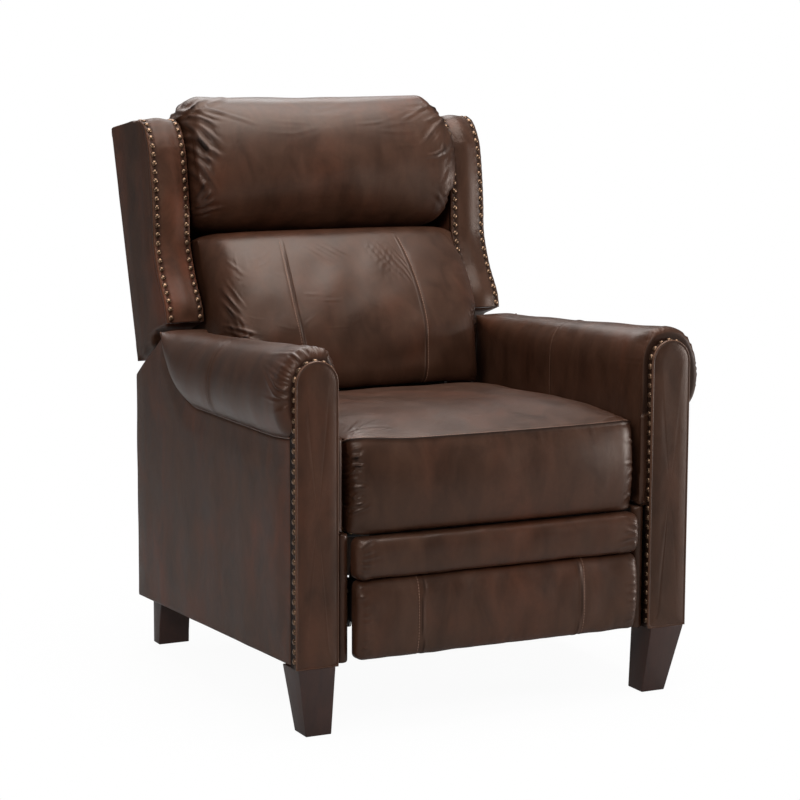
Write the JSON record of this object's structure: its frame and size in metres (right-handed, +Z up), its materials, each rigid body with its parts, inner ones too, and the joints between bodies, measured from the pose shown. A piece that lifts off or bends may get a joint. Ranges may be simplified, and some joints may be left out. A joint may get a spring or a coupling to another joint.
{
  "type": "wingback recliner chair",
  "caption": "Push-back leather recliner with wings, rolled arms, a head pillow and a folding footrest carried by steel links on each side.",
  "frame": {"origin": "on the floor, under the middle of the chair's box", "axes": "+X to the sitter's left, the front of the chair towards -Y, +Z up"},
  "size_m": [0.7884, 0.9486, 1.0273],
  "materials": {
    "leather": "antiqued dark brown, semi-gloss",
    "leg_wood": "dark espresso satin",
    "frame_wood": "bare plywood and softwood",
    "black_steel": "black enamel",
    "zinc_steel": "zinc plated"
  },
  "bodies": {
    "root": {"front_leg_left": "leg_wood", "front_leg_right": "leg_wood", "rear_leg_left": "leg_wood", "rear_leg_right": "leg_wood", "arm_facing_left": "leather", "arm_facing_right": "leather", "outside_arm_panel_left": "leather", "outside_arm_panel_right": "leather", "inside_arm_panel_left": "leather", "inside_arm_panel_right": "leather", "arm_roll_left": "leather", "arm_roll_right": "leather", "arm_frame_left": "frame_wood", "arm_frame_right": "frame_wood", "cross_rail": "frame_wood", "rear_rail": "leather", "base_bracket_left": "black_steel", "base_bracket_right": "black_steel"},
    "rear_swing": {"rear_swing_link_left": "zinc_steel", "rear_swing_link_right": "zinc_steel"},
    "front_swing": {"front_swing_link_left": "zinc_steel", "front_swing_link_right": "zinc_steel"},
    "carriage": {"side_plate_left": "black_steel", "side_plate_right": "black_steel", "seat_frame": "frame_wood", "seat_spring_1": "black_steel", "seat_spring_2": "black_steel", "seat_spring_3": "black_steel", "seat_spring_4": "black_steel", "seat_cushion": "leather"},
    "back": {"back_frame": "frame_wood", "outside_back_panel": "leather", "wing_facing_left": "leather", "wing_facing_right": "leather", "wing_left": "leather", "wing_right": "leather", "back_cushion": "leather", "head_pillow": "leather", "back_bracket_left": "black_steel", "back_bracket_right": "black_steel"},
    "drive_links": {"drive_link_left": "zinc_steel", "drive_link_right": "zinc_steel", "torque_tube": "black_steel"},
    "idler_links": {"idler_link_left": "zinc_steel", "idler_link_right": "zinc_steel"},
    "long_arms": {"long_arm_link_left": "zinc_steel", "long_arm_link_right": "zinc_steel"},
    "tilt_links": {"tilt_link_left": "zinc_steel", "tilt_link_right": "zinc_steel"},
    "footrest": {"footrest_board": "frame_wood", "footrest_pad": "leather", "footrest_bracket_left": "black_steel", "footrest_bracket_right": "black_steel"},
    "mid_footrest": {"mid_footrest_board": "frame_wood", "mid_footrest_pad": "leather", "mid_footrest_bracket_left": "black_steel", "mid_footrest_bracket_right": "black_steel"},
    "guide_links": {"mid_guide_link_left": "zinc_steel", "mid_guide_link_right": "zinc_steel"}
  },
  "joints": [
    {"name": "seat_glide", "type": "hinge", "parent": "root", "child": "rear_swing", "pos_m": [0, -0.03632, 0.15], "axis": [1, 0, 0], "range_deg": [0, 40]},
    {"name": "front_swing_turn", "type": "hinge", "parent": "root", "child": "front_swing", "pos_m": [0, -0.27632, 0.15], "axis": [1, 0, 0], "range_deg": [0, 40]},
    {"name": "carriage_level", "type": "hinge", "parent": "rear_swing", "child": "carriage", "pos_m": [0, 0.02153, 0.21894], "axis": [1, 0, 0], "range_deg": [-40, 0]},
    {"name": "back_recline", "type": "hinge", "parent": "carriage", "child": "back", "pos_m": [0, 0.19368, 0.3], "axis": [-1, 0, 0], "range_deg": [0, 28]},
    {"name": "footrest_drive", "type": "hinge", "parent": "carriage", "child": "drive_links", "pos_m": [0, -0.33632, 0.312], "axis": [-1, 0, 0], "range_deg": [0, 126]},
    {"name": "idler_turn", "type": "hinge", "parent": "carriage", "child": "idler_links", "pos_m": [0, -0.29232, 0.289], "axis": [-1, 0, 0], "range_deg": [0, 126]},
    {"name": "long_arm_turn", "type": "hinge", "parent": "drive_links", "child": "long_arms", "pos_m": [0, -0.23522, 0.17285], "axis": [-1, 0, 0], "range_deg": [-126, 0]},
    {"name": "tilt_link_turn", "type": "hinge", "parent": "drive_links", "child": "tilt_links", "pos_m": [0, -0.21668, 0.18808], "axis": [-1, 0, 0], "range_deg": [-132.75, 0]},
    {"name": "footrest_turn", "type": "hinge", "parent": "long_arms", "child": "footrest", "pos_m": [0, -0.41822, 0.23185], "axis": [-1, 0, 0], "range_deg": [0, 88]},
    {"name": "mid_footrest_turn", "type": "hinge", "parent": "long_arms", "child": "mid_footrest", "pos_m": [0, -0.40422, 0.19985], "axis": [-1, 0, 0], "range_deg": [0, 88]},
    {"name": "guide_link_turn", "type": "hinge", "parent": "footrest", "child": "guide_links", "pos_m": [0, -0.39522, 0.20185], "axis": [-1, 0, 0], "range_deg": [-88, 0]}
  ],
  "couplings": [
    {"joint": "front_swing_turn", "follows": "seat_glide", "ratio": 1},
    {"joint": "carriage_level", "follows": "seat_glide", "ratio": -1},
    {"joint": "footrest_drive", "follows": "seat_glide", "ratio": 3.15},
    {"joint": "idler_turn", "follows": "seat_glide", "ratio": 3.15},
    {"joint": "long_arm_turn", "follows": "seat_glide", "ratio": -3.15},
    {"joint": "tilt_link_turn", "follows": "seat_glide", "ratio": -3.3188},
    {"joint": "footrest_turn", "follows": "seat_glide", "ratio": 2.2},
    {"joint": "mid_footrest_turn", "follows": "seat_glide", "ratio": 2.2},
    {"joint": "guide_link_turn", "follows": "seat_glide", "ratio": -2.2}
  ]
}
